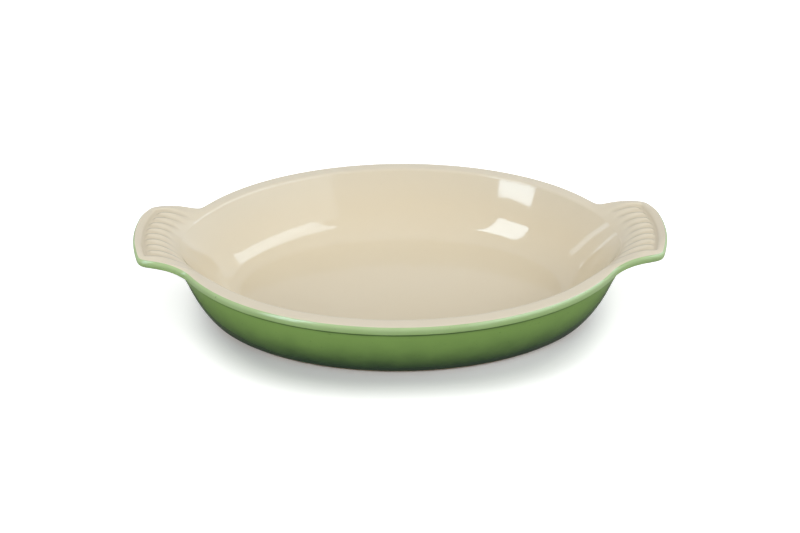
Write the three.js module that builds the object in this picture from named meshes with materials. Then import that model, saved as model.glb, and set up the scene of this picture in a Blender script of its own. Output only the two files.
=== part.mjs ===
// Oval baking dish: one pressed stoneware body, with its two shell handles, under three fired glaze coats.
// Millimetres, +Z up, +X along the dish from handle to handle, origin on the table under the middle.
import * as THREE from "three";

// The oval, measured over the outside of the rim
const rimLength = 239;
const rimWidth = 163;
const rimHeight = 39;

// The rim: a rounded lip on top of a proud band
const lipRadius = 2.2; // rounding of the lip's inner and outer edges
const lipCrown = 0.3; // how far the lip's top is arched between those roundings
const lipFlatness = 4; // power of that arch: more is flatter in the middle
const lipInnerAngle = 70; // where the inner rounding passes into the leaning wall, in degrees from its top
const glazeLineAngle = 30; // where on the outer rounding the two glazes meet, in degrees from its top
const bandHeight = 4.4; // top of the rim to the band's lower edge
const bandStep = 1.6; // how far the band stands proud of the wall
const bandRadius = 0.6; // rounding of the band's lower edge

// The wall, the foot and the floor
const wallThickness = 7; // just under the rim
const footInset = 15.5; // rim's edge to the foot's outer edge
const footWidth = 6.5;
const footRecess = 1.4; // how far the underside stands clear of the table inside the foot
const footRadius = 1.2;
const floorThickness = 5.5;
const floorSetback = 18; // foot's outer edge to the edge of the flat floor inside
const wallBulge = 4.8; // inset of the outer wall's control point from the wall's top, at the height below
const wallBulgeHeight = 11.5;
const innerBulge = 7.5; // inset of the inner wall's first control point from the lip, at the height below
const innerBulgeHeight = 17;

// The handles
const handleReach = 20.5; // past the rim's edge
const handleWidth = 58.6;
const handleSquareness = 30; // power of the outline: more is squarer
const handleFlatness = 0.2; // how far the outer end is flattened from the oval's own curve, as a share
const handleRise = 5.1; // the handle's sides above the rim
const handleRiseOnset = 3; // power: more lets the rise set in earlier along the rim
const handleEndRise = 2.2; // the middle of the handle's end above its sides
const handleEndFlat = 12; // half the width over which its end is highest
const handleHump = 1; // the handle's middle above its edge
const handleHumpPlace = 0.68; // where that is, as a share of the way from the bowl to the edge
const handleClimb = 2.2; // power: more makes the climb to the hump steeper at the bowl
const handleSideClimb = 1.2; // the same along the handle's sides
const handleDip = 2.2; // how far the bowl's inner edge dips at the handle
const handleCrease = 5.5; // how far the bowl's inner edge runs out into the handle
const handleCreaseSpread = 44; // half the width over which it does so
const handleCreaseFade = 4; // power: more keeps that dip and run nearer to the lip
const handleRoll = 0.5; // how far the lip's inner rounding is straightened at the handle, as a share
const handleThickness = 5.2; // the handle's edge from top to bottom
const handleEdgeRadius = 2.4; // rounding of its lower edge
const handleRootDrop = 3; // how far the handle's root reaches down the wall under the band
const handleArch = 0.75; // how high the underside's middle lies between its root and its edge, as a share

// The flutes in the handles' tops
const flutePitch = 5.4;
const fluteMargin = 7.5; // handle's side to the nearest flute, at the least
const fluteDepth = 0.9;
const fluteSharpness = 0.4; // 1 for a sharp groove, 0 for a soft wave
const fluteScoop = 0.6; // how deep the field of flutes is sunk at its outer end
const fluteScoopLength = 9; // length over which it sinks
const fluteBorder = 4.5; // plain border outside the flutes' outer ends
const fluteBorderCurl = 1.5; // power: more turns that border up nearer to its edge
const fluteEnd = 2.4; // length of the step at the flutes' outer ends
const fluteFade = 7; // length over which the flutes die out towards the bowl

// The glaze
const glazeThickness = 0.5;
const glazeStop = 2; // height of the outer glaze's lower edge above the table

// Facets
const fluteFacets = 3;
const fieldFacets = 6;
const flankFacets = 18;
const sideFacets = 10;
const wallFacets = 16;
const outlineSamples = 720;

const halfLength = rimLength / 2;
const halfWidth = rimWidth / 2;
const rimThickness = bandStep + wallThickness;
const fluteCount = Math.floor((handleWidth - 2 * fluteMargin) / flutePitch);
const fieldHalf = (fluteCount * flutePitch) / 2;
const flankEnd = fieldHalf + 2 * fluteMargin;

const { clamp, lerp, pingpong, smoothstep } = THREE.MathUtils;

// Share of the handle's reach at an angle round the oval: 1 across a handle, 0 along the sides.
function handleShare(angle) {
  const across = Math.abs(halfWidth * Math.sin(angle)) / (handleWidth / 2);
  return 1 / (1 + across ** handleSquareness);
}

// Share of the handle's rise: it sets in earlier along the rim than the reach.
function riseShare(angle) {
  return 1 - (1 - handleShare(angle)) ** handleRiseOnset;
}

// Share of the end's own rise: 1 along the middle of a handle's end, 0 at its sides.
function endShare(angle) {
  return 1 - smoothstep(Math.abs(halfWidth * Math.sin(angle)), handleEndFlat, handleWidth / 2);
}

// Share of the crease's run and dip, by the distance from the middle of a handle.
function creaseShare(y) {
  return clamp(1 - (y / handleCreaseSpread) ** 2, 0, 1) ** 2;
}

// A point of the oval, inset from the rim's edge and moved out along the handle.
function ovalPoint(angle, inset, reach) {
  const side = Math.sign(Math.cos(angle));
  const flattened = handleFlatness * halfLength * (1 - Math.abs(Math.cos(angle)));
  const out = reach * (1 + flattened / handleReach) * handleShare(angle);
  return new THREE.Vector2(
    (halfLength - inset) * Math.cos(angle) + side * out,
    (halfWidth - inset) * Math.sin(angle),
  );
}

// The outermost line, round the rim and the handles, and its inward direction.
function outlinePoint(angle) {
  return ovalPoint(angle, 0, handleReach);
}

function outlineInward(angle) {
  const step = 1e-4;
  const along = outlinePoint(angle + step).sub(outlinePoint(angle - step)).normalize();
  return new THREE.Vector2(-along.y, along.x);
}

const outlineLine = Array.from({ length: outlineSamples }, (_, i) =>
  outlinePoint((2 * Math.PI * i) / outlineSamples),
);

function distanceToOutline(point) {
  let nearest = Infinity;
  outlineLine.forEach((start, i) => {
    const span = outlineLine[(i + 1) % outlineSamples].clone().sub(start);
    const offset = point.clone().sub(start);
    const share = clamp(offset.dot(span) / span.lengthSq(), 0, 1);
    nearest = Math.min(nearest, offset.sub(span.multiplyScalar(share)).length());
  });
  return nearest;
}

// Stations: the angles at which a ring has points. A quarter runs from a handle to the middle of a side.
function allRound(quarter) {
  const half = [...quarter, ...quarter.slice(0, -1).reverse().map((angle) => Math.PI - angle)];
  const open = half.slice(0, -1);
  return [...open, ...open.map((angle) => angle + Math.PI)];
}

function spread(from, to, count) {
  return Array.from({ length: count + 1 }, (_, i) => from + ((to - from) * i) / count);
}

const angleAcross = (y) => Math.asin(y / halfWidth);

// Angles from one to another, spread evenly along the outline.
function evenly(from, to, count) {
  const fine = spread(from, to, outlineSamples);
  const run = [0];
  fine.slice(1).forEach((angle, i) => {
    run.push(run[i] + outlinePoint(angle).distanceTo(outlinePoint(fine[i])));
  });
  return spread(0, run.at(-1), count).map((distance) => fine[run.findLastIndex((far) => far <= distance)]);
}

function outlineStations(fieldLines) {
  const flank = evenly(angleAcross(fieldHalf), angleAcross(flankEnd), flankFacets).slice(1);
  const side = spread(angleAcross(flankEnd), Math.PI / 2, sideFacets).slice(1);
  return allRound([...fieldLines.map(angleAcross), ...flank, ...side]);
}

const fluteLines = [];
for (let y = fieldHalf; y > flutePitch / 100; y -= flutePitch / fluteFacets) fluteLines.unshift(y);
const fineStations = outlineStations([0, ...fluteLines]);
const edgeStations = outlineStations(spread(0, fieldHalf, fieldFacets));
const wallStations = allRound(spread(0, Math.PI / 2, wallFacets));

// The lip's two edges are rounded alike: inset and drop of a point there, by its angle from the top.
function lipRounding(degrees) {
  const angle = THREE.MathUtils.degToRad(degrees);
  return { inset: lipRadius * (1 - Math.sin(angle)), drop: lipRadius * (1 - Math.cos(angle)) };
}

// The top of the rim and of the handles, between the same place on both roundings
const topEdge = lipRounding(glazeLineAngle);
const topHeight = rimHeight - topEdge.drop;
const creaseInset = rimThickness - topEdge.inset;
const handleTopLength = handleReach - handleCrease + creaseInset - topEdge.inset;
const fluteShare = 1 - fluteBorder / handleTopLength;

// A point of the inner wall. near is 1 at the lip, which runs out and dips at the handles; there its
// points stay in the flutes' lanes.
function innerPoint(angle, inset, z, near) {
  const y = (halfWidth - inset * (1 - near * handleShare(angle))) * Math.sin(angle);
  const crease = near * creaseShare(y);
  const plain = (halfLength - inset) * Math.sqrt(clamp(1 - (y / (halfWidth - inset)) ** 2, 0, 1));
  const x = Math.sign(Math.cos(angle)) * (plain + handleCrease * crease);
  return new THREE.Vector3(x, y, z - handleDip * crease);
}

// Depth of the fluted field under the plain handle.
function fluteDrop(y, share, edgeDistance) {
  const halfPitch = flutePitch / 2;
  const fromField = Math.abs(y) - fieldHalf;
  if (fromField > halfPitch) return 0;
  const along = share * handleTopLength;
  const fieldEnd = fluteShare * handleTopLength;
  const fromCrest = 1 - pingpong(fromField, halfPitch) / halfPitch;
  const sharp = Math.cos((fromCrest * Math.PI) / 2);
  const soft = (1 + Math.cos(fromCrest * Math.PI)) / 2;
  const groove = fluteDepth * (1 - lerp(soft, sharp, fluteSharpness)) * smoothstep(along, 0, fluteFade);
  const shoulder = 1 - smoothstep(fromField, 0, halfPitch);
  const scoop = fluteScoop * shoulder * smoothstep(along, fieldEnd - fluteScoopLength, fieldEnd);
  return (groove + scoop) * smoothstep(edgeDistance, fluteBorder - fluteEnd, fluteBorder);
}

// Share of the climb from the bowl to the handle's top.
function climbed(y, share) {
  const middle = clamp(1 - ((2 * y) / handleWidth) ** 2, 0, 1);
  const power = lerp(handleSideClimb, handleClimb, middle);
  return 1 - Math.max(0, 1 - share / handleHumpPlace) ** power;
}

// Share of the hump, which fades out towards the handle's edge and sides.
function humpShare(y, share) {
  const beyond = Math.max(0, (share - handleHumpPlace) / (1 - handleHumpPlace));
  return (1 - beyond ** 2) * (1 - smoothstep(Math.abs(y), fieldHalf, handleWidth / 2));
}

// A point of the top: share 0 is the bowl's inner edge, share 1 the line where the two glazes meet.
function topPoint(angle, share) {
  const crease = innerPoint(angle, creaseInset, 0, 1);
  const edge = outlinePoint(angle).addScaledVector(outlineInward(angle), topEdge.inset);
  const plan = new THREE.Vector2(crease.x, crease.y).lerp(edge, share);
  const edgeDistance = distanceToOutline(plan) - topEdge.inset;
  const climb = climbed(plan.y, share);
  const crown = lipCrown * (1 - Math.abs(2 * share - 1) ** lipFlatness);
  const hump = handleHump * humpShare(plan.y, share);
  const edgeRise = handleRise * share ** 2;
  const lip = crown + edgeRise * riseShare(angle);
  const handle = (handleRise + hump) * climb - edgeRise * (1 - riseShare(angle));
  const border = clamp(1 - edgeDistance / fluteBorder, 0, 1) ** fluteBorderCurl;
  const endRise = handleEndRise * endShare(angle) * border;
  const rise = lerp(lip, handle, handleShare(angle)) + crease.z * (1 - climb) + endRise;
  return new THREE.Vector3(plan.x, plan.y, topHeight + rise - fluteDrop(plan.y, share, edgeDistance));
}

// The rim's side, which is also the handle's side, by its inset from the outline and its drop from the top
function bandPoint(angle, inset, drop) {
  const plan = outlinePoint(angle).addScaledVector(outlineInward(angle), inset);
  const rise = handleRise * riseShare(angle) + handleEndRise * endShare(angle);
  return new THREE.Vector3(plan.x, plan.y, rimHeight - drop + rise);
}

// The band's lower edge, by its angle round from the band's side
function bandFootPoint(angle, degrees) {
  const turn = THREE.MathUtils.degToRad(degrees);
  const foot = lerp(bandHeight, handleThickness, handleShare(angle));
  const radius = Math.min(lerp(bandRadius, handleEdgeRadius, handleShare(angle)), foot - lipRadius);
  return bandPoint(angle, radius * (1 - Math.cos(turn)), foot - radius * (1 - Math.sin(turn)));
}

function wallPoint(angle, inset, z) {
  const plan = ovalPoint(angle, inset, 0);
  return new THREE.Vector3(plan.x, plan.y, z);
}

const wallTop = new THREE.Vector2(bandStep, rimHeight - bandHeight - bandRadius);
const rootPoint = (angle) =>
  wallPoint(angle, wallTop.x, wallTop.y - handleRootDrop * handleShare(angle));

// The hollow under the band and the handles, from the band's lower edge to the wall
function undersidePoint(angle, share) {
  const root = rootPoint(angle);
  const edge = bandFootPoint(angle, 90);
  const pull = root.clone().lerp(edge, 0.5);
  pull.z = lerp(root.z, edge.z, 2 * handleArch - 0.5); // which brings the curve's middle to handleArch
  return new THREE.QuadraticBezierCurve3(edge, pull, root).getPoint(share);
}

// The wall's two sides, as curves of inset against height
const outerWall = new THREE.QuadraticBezierCurve(
  wallTop,
  new THREE.Vector2(bandStep + wallBulge, wallBulgeHeight),
  new THREE.Vector2(footInset, 0),
);
const innerEdge = lipRounding(lipInnerAngle);
const innerTop = new THREE.Vector2(rimThickness - innerEdge.inset, rimHeight - innerEdge.drop);
const innerWall = new THREE.CubicBezierCurve(
  innerTop,
  new THREE.Vector2(innerTop.x + innerBulge, innerBulgeHeight),
  new THREE.Vector2(innerTop.x + 2 * innerBulge, floorThickness),
  new THREE.Vector2(footInset + floorSetback, floorThickness),
);

// Rings
function ring(angles, place) {
  return { angles, points: angles.map(place) };
}

const pole = (z) => ring([0], () => new THREE.Vector3(0, 0, z));
const levelRing = (inset, z) => ring(wallStations, (angle) => wallPoint(angle, inset, z));

// Where the rings lie: along the two walls, along the top, and round the lip's edges
const innerShares = [1, 0.85, 0.7, 0.55, 0.4, 0.2, 0];
const outerShares = [0.2, 0.4, 0.6, 0.8];
const flutesEnd = fluteShare + fluteEnd / handleTopLength;
const topShares = [0, 0.12, 0.25, 0.4, 0.55, handleHumpPlace, fluteShare, flutesEnd];
const undersideShares = [0.25, 0.5, 0.75];
const innerMiddle = lipRounding((glazeLineAngle + lipInnerAngle) / 2);
const outerMiddle = lipRounding((glazeLineAngle + 90) / 2);

const innerRings = innerShares.map((share) => {
  const { x, y } = innerWall.getPoint(share);
  return ring(wallStations, (angle) => innerPoint(angle, x, y, (1 - share) ** handleCreaseFade));
});
const lipRing = ring(wallStations, (angle) => {
  const rounded = innerPoint(angle, rimThickness - innerMiddle.inset, rimHeight - innerMiddle.drop, 1);
  const straight = innerPoint(angle, innerTop.x, innerTop.y, 1).lerp(topPoint(angle, 0), 0.5);
  return rounded.lerp(straight, handleRoll * creaseShare(rounded.y));
});
const topRings = topShares.map((share) => ring(fineStations, (angle) => topPoint(angle, share)));
const glazeLine = ring(edgeStations, (angle) => topPoint(angle, 1));
const bandRings = [
  ring(edgeStations, (angle) => bandPoint(angle, outerMiddle.inset, outerMiddle.drop)),
  ring(edgeStations, (angle) => bandPoint(angle, 0, lipRadius)),
  ring(edgeStations, (angle) => bandFootPoint(angle, 0)),
  ring(edgeStations, (angle) => bandFootPoint(angle, 45)),
  ring(edgeStations, (angle) => bandFootPoint(angle, 90)),
  ...undersideShares.map((share) => ring(edgeStations, (angle) => undersidePoint(angle, share))),
  ring(edgeStations, rootPoint),
];
const outerRings = outerShares.map((share) => {
  const { x, y } = outerWall.getPoint(share);
  return levelRing(x, y);
});

// Inset of the outer wall at a height above the table.
function outerInset(z) {
  let [low, high] = [0, 1];
  for (let i = 0; i < 40; i += 1) {
    const middle = (low + high) / 2;
    if (outerWall.getPoint(middle).y > z) low = middle;
    else high = middle;
  }
  return outerWall.getPoint(high).x;
}

const stopRing = levelRing(outerInset(glazeStop), glazeStop);
const footInner = footInset + footWidth;
const bareRings = [
  levelRing(outerInset(footRadius) + glazeThickness, footRadius),
  levelRing(footInset + footRadius, 0),
  levelRing(footInner, 0),
];
const undersideRings = [
  levelRing(footInner + footRecess, footRecess),
  pole(footRecess),
];

// The finished dish's skin, from the middle of the floor over the rim to the middle of the underside
const creamRings = [pole(floorThickness), ...innerRings, lipRing, ...topRings, glazeLine];
const greenRings = [glazeLine, ...bandRings, ...outerRings, stopRing];
const skin = [...creamRings, ...greenRings.slice(1), ...bareRings, ...undersideRings];
const glazeLineAt = skin.indexOf(glazeLine);
const stopAt = skin.indexOf(stopRing);
const undersideAt = skin.indexOf(undersideRings[0]);
const lastAt = skin.length - 1;

// Faces between two neighbouring rings, walking round both in step whatever their numbers of points.
function zip(a, b) {
  const faces = [];
  const ahead = (r, i) => (i + 1 < r.angles.length ? r.angles[i + 1] : 2 * Math.PI);
  const stepsIn = (r) => (r.angles.length > 1 ? r.angles.length : 0);
  const at = (r, i) => r.first + (i % r.angles.length);
  let [i, j] = [0, 0];
  while (i < stepsIn(a) || j < stepsIn(b)) {
    const moveB = i >= stepsIn(a) || (j < stepsIn(b) && ahead(b, j) <= ahead(a, i));
    if (moveB) {
      faces.push([at(a, i), at(b, j), at(b, j + 1)]);
      j += 1;
    } else {
      faces.push([at(a, i), at(b, j), at(a, i + 1)]);
      i += 1;
    }
  }
  return faces;
}

function indexed(rings) {
  let first = 0;
  return rings.map(({ angles, points }) => {
    const numbered = { angles, points, first };
    first += points.length;
    return numbered;
  });
}

function surface(points, faces) {
  const geometry = new THREE.BufferGeometry().setFromPoints(points);
  geometry.setIndex(faces.flat());
  geometry.computeVertexNormals();
  return geometry;
}

function strips(rings) {
  return rings.slice(1).flatMap((outer, i) => zip(rings[i], outer));
}

// The stoneware's own surface lies one glaze thickness under the skin, and at the skin where it is bare.
function underGlaze(rings) {
  const numbered = indexed(rings);
  const normals = surface(numbered.flatMap((r) => r.points), strips(numbered)).getAttribute("normal");
  return numbered.map(({ angles, points, first }, at) => {
    const bare = at > stopAt && at < undersideAt;
    const depth = bare ? 0 : glazeThickness;
    const normal = (i) => new THREE.Vector3().fromBufferAttribute(normals, first + i);
    return { angles, points: points.map((p, i) => p.clone().addScaledVector(normal(i), -depth)) };
  });
}

const bodySkin = underGlaze(skin);

function bodyGeometry() {
  const rings = indexed(bodySkin);
  return surface(rings.flatMap((r) => r.points), strips(rings));
}

// One coat of glaze over part of the skin: its face, its back on the stoneware, and its open edges.
function coatGeometry(from, to) {
  const rings = indexed([...skin.slice(from, to + 1), ...bodySkin.slice(from, to + 1)]);
  const face = rings.slice(0, to - from + 1);
  const back = rings.slice(to - from + 1);
  const turned = (faces) => faces.map(([a, b, c]) => [a, c, b]);
  const isEdge = (r) => r.points.length > 1;
  const faces = [...strips(face), ...turned(strips(back))];
  if (isEdge(face.at(-1))) faces.push(...zip(face.at(-1), back.at(-1)));
  if (isEdge(face[0])) faces.push(...turned(zip(face[0], back[0])));
  return surface(rings.flatMap((r) => r.points), faces);
}

function part(name, geometry, color, roughness) {
  const mesh = new THREE.Mesh(geometry, new THREE.MeshStandardMaterial({ color, roughness, metalness: 0 }));
  mesh.name = name;
  return mesh;
}

const dish = new THREE.Group();
dish.add(part("stoneware_body", bodyGeometry(), 0xd9c7a6, 0.85));
dish.add(part("cream_inner_glaze", coatGeometry(0, glazeLineAt), 0xe3d9bf, 0.15));
dish.add(part("green_outer_glaze", coatGeometry(glazeLineAt, stopAt), 0x6f9a52, 0.15));
dish.add(part("underside_glaze", coatGeometry(undersideAt, lastAt), 0x3c5a3a, 0.2));

export default dish;
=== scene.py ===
"""An oval baking dish of glazed stoneware with two shell handles, and a plain stage to show it on."""
import math

import bpy
import numpy as np
from mathutils import Matrix, Quaternion, Vector


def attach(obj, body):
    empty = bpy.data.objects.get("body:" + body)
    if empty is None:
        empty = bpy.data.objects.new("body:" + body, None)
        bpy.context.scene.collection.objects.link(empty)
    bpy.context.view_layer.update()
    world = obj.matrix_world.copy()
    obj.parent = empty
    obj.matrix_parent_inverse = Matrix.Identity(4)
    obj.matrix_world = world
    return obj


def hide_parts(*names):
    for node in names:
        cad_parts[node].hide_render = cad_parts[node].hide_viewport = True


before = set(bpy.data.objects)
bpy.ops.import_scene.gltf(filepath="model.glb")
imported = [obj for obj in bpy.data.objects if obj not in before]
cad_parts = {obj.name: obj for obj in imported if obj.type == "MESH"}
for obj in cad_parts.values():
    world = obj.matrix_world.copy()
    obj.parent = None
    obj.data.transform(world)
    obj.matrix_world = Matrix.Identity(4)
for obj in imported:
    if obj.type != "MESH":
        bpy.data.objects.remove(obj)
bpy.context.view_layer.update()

bl_info = {
    "name": "Oval baking dish",
    "version": (1, 0, 0),
    "blender": (4, 5, 0),
    "location": "3D View > Sidebar > Baking dish",
    "description": "A glazed stoneware dish with fluted shell handles, and a plain stage for it",
    "category": "Add Mesh",
}

# Points round the oval, for a quarter of it: across the flutes, round the handle's corner and along the side
FIELD_STEPS = 48
FLANK_STEPS = 36
SIDE_STEPS = 36

# Rings of points along each stretch of the surface
INNER_WALL_STEPS = 28
LIP_STEPS = 6
TOP_STEPS = 30
TOP_END_STEPS = 14
BAND_STEPS = 4
BAND_EDGE_STEPS = 5
UNDERSIDE_STEPS = 14
OUTER_WALL_STEPS = 26
GLAZE_END_STEPS = 6
FOOT_STEPS = 5

# Rings inside a flat disc: share of the way out, and how many of the edge's points go to one of theirs
DISC_RINGS = ((0.3, 8), (0.6, 4), (0.84, 2))

OUTLINE_SAMPLES = 2400
SAMPLES_PER_STEP = 10
SHARP_ANGLE = math.radians(50)
PHOTO_WIDTH = 800

# Share of the outer wall over which the handles' roots run out
ROOT_FADE = 0.2

# Share of its thickness that the outer glaze keeps at its very edge
GLAZE_EDGE = 0.1

# Depth of the green glaze: -1 where it is thinnest, 0 for its plain colour, 1 where it has pooled.
# The groove under the band and the wall towards the foot are darkened both as pooled glaze and as painted
# shade.
POOL_LINE = -1.0
POOL_BAND_TOP = -0.65
POOL_BAND_FOOT = -0.4
POOL_ROOT = 1.0
GROOVE_POOL_AND_SHADE = 0.8
GROOVE_POOL_AND_SHADE_SHARE = 0.025
FOOT_POOL_AND_SHADE = 1.15
FOOT_POOL_AND_SHADE_POWER = 1.15

# The glazes' refraction, their polish, how uneven it is, and the height of their ripples in metres
GLAZE_IOR = 1.5
GLAZE_ROUGHNESS = 0.03
GLAZE_UNEVENNESS = 0.06
GLAZE_RIPPLES = 0.0002

# How far the cream warms low in the bowl, how far each glaze drifts from place to place, and from where
CREAM_WARMTH = 0.7
CREAM_DRIFT = 0.6
GREEN_DRIFT = 0.3
DRIFT_START = -0.15

# Where the noise turns into a speck, and how strong the specks are
SPECK_EDGES = (0.72, 0.8)
CREAM_SPECKS = 0.25
GREEN_SPECKS = 0.3

# Depth of a flute, as a share, from which the cream darkens as painted shade and at which it is darkest
GROOVE_SHADE_EDGES = (0.3, 1.2)

# The clay's roughness, how uneven it is, and the height of its grain in metres
CLAY_ROUGHNESS = 0.8
CLAY_UNEVENNESS = 0.15
CLAY_GRAIN = 0.0001

# Where the noise turns into the clay's grit and into its plain patches
GRIT_EDGES = (0.55, 0.75)
PATCH_EDGES = (0.2, 0.6)

# Colour of the cards that the glaze mirrors
CARD_TINT = (0.7, 0.86, 1.0)

# The floor's glow is left out round the dish, painting a shadow over the dish's own: an oval, as shares of
# the rim's length and width, how square it is, and how far out from its middle the glow sets in and is full,
# as shares of that oval
GLOW_OVAL = (0.72, 0.83)
GLOW_SQUARENESS = 2.6
GLOW_EDGES = (1.05, 1.42)

# Where the floor turns fully white for the camera, so that its far edge can't be seen
GLOW_FAR = (4.5, 12)

# How much wider that painted shadow is where the glaze mirrors the floor, as a share
MIRRORED_SHADOW = 0.3


def length(name, description, millimetres):
    """A size of the dish, given in millimetres and kept in metres."""
    return bpy.props.FloatProperty(
        name=name, description=description, default=millimetres / 1000, unit="LENGTH", precision=5
    )


def number(name, description, value):
    """A plain number, such as a share or a power."""
    return bpy.props.FloatProperty(name=name, description=description, default=value, precision=3)


def slant(name, description, degrees):
    """An angle, given in degrees."""
    return bpy.props.FloatProperty(
        name=name, description=description, default=math.radians(degrees), subtype="ANGLE"
    )


def linear(red, green, blue):
    """A colour as it looks on a screen, 0 to 255, in the light units that the shaders use."""
    shares = (red / 255, green / 255, blue / 255)
    return tuple(c / 12.92 if c <= 0.04045 else ((c + 0.055) / 1.055) ** 2.4 for c in shares)


def colour(name, description, red, green, blue):
    """A colour of a finish, given as it looks on a screen."""
    return bpy.props.FloatVectorProperty(
        name=name, description=description, default=linear(red, green, blue), subtype="COLOR", min=0, max=1
    )


class DishSizes(bpy.types.PropertyGroup):
    """Sizes of the dish."""

    rim_length: length("Rim length", "The oval over the outside of its rim, without the handles", 239)
    rim_width: length("Rim width", "The oval's width over the outside of its rim", 163)
    rim_height: length("Rim height", "The rim's top over the table", 39)
    lip_radius: length("Lip rounding", "Rounding of the lip's inner and outer edges", 2.2)
    lip_crown: length("Lip crown", "How far the lip's top is arched between its roundings", 0.3)
    lip_flatness: number("Lip flatness", "Power of that arch: more is flatter in the middle", 4)
    lip_inner_angle: number("Lip inner angle", "Where the lip turns into the wall, in degrees", 70)
    glaze_line_angle: number("Glaze line", "Where the glazes meet on the outer rounding, in degrees", 30)
    band_height: length("Band height", "The rim's top to the band's lower edge", 4.4)
    band_step: length("Band step", "How far the band stands proud of the wall", 1.6)
    band_radius: length("Band rounding", "Rounding of the band's lower edge", 0.6)
    wall_thickness: length("Wall thickness", "The wall just under the rim", 7)
    wall_bulge: length("Outer bulge", "How far the outer wall draws in half way down", 4.8)
    wall_bulge_height: length("Outer bulge height", "Height at which the outer wall turns in", 11.5)
    inner_bulge: length("Inner bulge", "How far the inner wall draws in half way down", 7.5)
    inner_bulge_height: length("Inner bulge height", "Height at which the inner wall turns in", 17)
    foot_inset: length("Foot inset", "The rim's edge to the foot's outer edge", 15.5)
    foot_width: length("Foot width", "Width of the foot ring", 6.5)
    foot_recess: length("Foot recess", "How far the underside stands clear of the table", 1.4)
    foot_radius: length("Foot rounding", "Rounding of the foot ring's edges", 1.2)
    floor_thickness: length("Floor thickness", "The floor, with its glaze, over the table", 5.5)
    floor_setback: length("Floor setback", "The foot's outer edge to the flat floor's edge", 18)
    handle_reach: length("Handle reach", "How far a handle runs out past the rim", 20.5)
    handle_width: length("Handle width", "A handle from side to side", 58.6)
    handle_squareness: number("Handle squareness", "Power of the handle's outline: more is squarer", 30)
    handle_flatness: number("Handle flatness", "How far its end is flattened from the oval's curve", 0.2)
    handle_rise: length("Handle rise", "The handle's sides over the rim", 5.1)
    handle_rise_onset: number("Handle rise onset", "Power: more lets the rise set in earlier", 3)
    handle_end_rise: length("Handle end rise", "The middle of a handle's end over its sides", 2.2)
    handle_end_flat: length("Handle end flat", "Half the width over which its end is highest", 12)
    handle_hump: length("Handle hump", "The handle's middle over its edge", 1)
    handle_hump_place: number("Handle hump place", "Share of the way from the bowl to the edge", 0.68)
    handle_climb: number("Handle climb", "Power: more makes the climb steeper at the bowl", 2.2)
    handle_side_climb: number("Handle side climb", "The same along a handle's sides", 1.2)
    handle_dip: length("Handle dip", "How far the bowl's inner edge dips at a handle", 2.2)
    handle_crease: length("Handle crease", "How far the bowl's inner edge runs out into a handle", 5.5)
    handle_crease_spread: length("Handle crease spread", "Half the width over which it does so", 44)
    handle_roll: number("Handle roll", "How far the lip's inner rounding is straightened at a handle", 0.5)
    handle_crease_fade: number("Handle crease fade", "Power: more keeps that nearer to the lip", 4)
    handle_thickness: length("Handle thickness", "A handle's edge from top to bottom", 5.2)
    handle_edge_radius: length("Handle edge rounding", "Rounding of a handle's lower edge", 2.4)
    handle_root_drop: length("Handle root", "How far a handle's root reaches down the wall", 3)
    handle_arch: number("Handle arch", "Height of the underside's middle between root and edge", 0.75)
    flute_pitch: length("Flute pitch", "One flute to the next", 5.4)
    flute_margin: length("Flute margin", "A handle's side to the nearest flute, at the least", 7.5)
    flute_depth: length("Flute depth", "The grooves under the ridges", 0.9)
    flute_scoop: length("Flute scoop", "How deep the fluted field is sunk at its outer end", 0.6)
    flute_scoop_length: length("Flute scoop length", "Length over which it sinks", 9)
    flute_border: length("Flute border", "Plain border outside the flutes' ends", 4.5)
    flute_border_curl: number("Flute border curl", "Power: more turns the border up nearer its edge", 1.5)
    flute_end: length("Flute end", "Length of the step up to that border", 2.4)
    flute_fade: length("Flute fade", "Length over which the flutes die out at the bowl", 7)
    flute_tip: length("Flute tip", "Length of the ridges' rounded ends", 2.4)
    flute_sharpness: number("Flute sharpness", "1 for a sharp groove, 0 for a soft wave", 0.4)
    glaze_thickness: length("Glaze thickness", "Thickness of the glaze coats", 0.5)
    glaze_stop: length("Glaze stop", "The outer glaze's lower edge over the table", 2)
    glaze_roll: length("Glaze roll", "Length over which that edge rounds off", 0.6)


class DishColours(bpy.types.PropertyGroup):
    """Colours of the glazes and the clay."""

    cream: colour("Cream", "The inner glaze", 223, 214, 193)
    cream_thick: colour("Cream, thick", "The inner glaze where it has run thick", 222, 210, 184)
    # This darker cream paints the shade in the flutes' grooves, and colours the specks
    cream_specks_and_groove_shade: colour("Cream, grooves", "The inner glaze in the flutes' grooves", 210, 199, 175)
    green_thin: colour("Green, thin", "The outer glaze where it thins over an edge", 176, 203, 146)
    green: colour("Green", "The outer glaze on the wall", 148, 187, 99)
    # Deep green for pooled glaze and specks, and also painted shade: the groove under the band and the wall
    # near the foot darken towards it
    green_pooled_and_shade: colour("Green, thick", "The outer glaze where it has pooled", 44, 74, 46)
    clay: colour("Clay", "The bare fired clay", 205, 180, 143)
    clay_grit: colour("Clay grit", "The dark grains in the clay", 134, 101, 70)
    floor: colour("Floor", "The table as the camera sees it", 243, 243, 243)
    floor_bounce: colour("Floor bounce", "The table as it lights the dish", 115, 115, 115)


class DishStage(bpy.types.PropertyGroup):
    """The camera and the lights."""

    elevation: slant("Elevation", "The camera over the horizon", 35)
    turn: slant("Turn", "The camera round the dish from its front", -1.45)
    roll: slant("Roll", "The camera about its own line of sight", 0.12)
    distance: length("Distance", "The camera to the middle of the dish's foot", 708)
    lens: number("Lens", "The camera's focal length in millimetres on a 36 mm sensor", 58.23)
    shift_right: number("Shift right", "The dish's place right of the picture's middle, in pixels", 0.55)
    shift_down: number("Shift down", "The dish's place under the picture's middle, in pixels", 31.2)
    daylight: number("Daylight", "Strength of the even light from all round", 0.28)
    floor_glow: number("Floor glow", "Share of the floor's white that no shadow takes away", 0.55)


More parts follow.
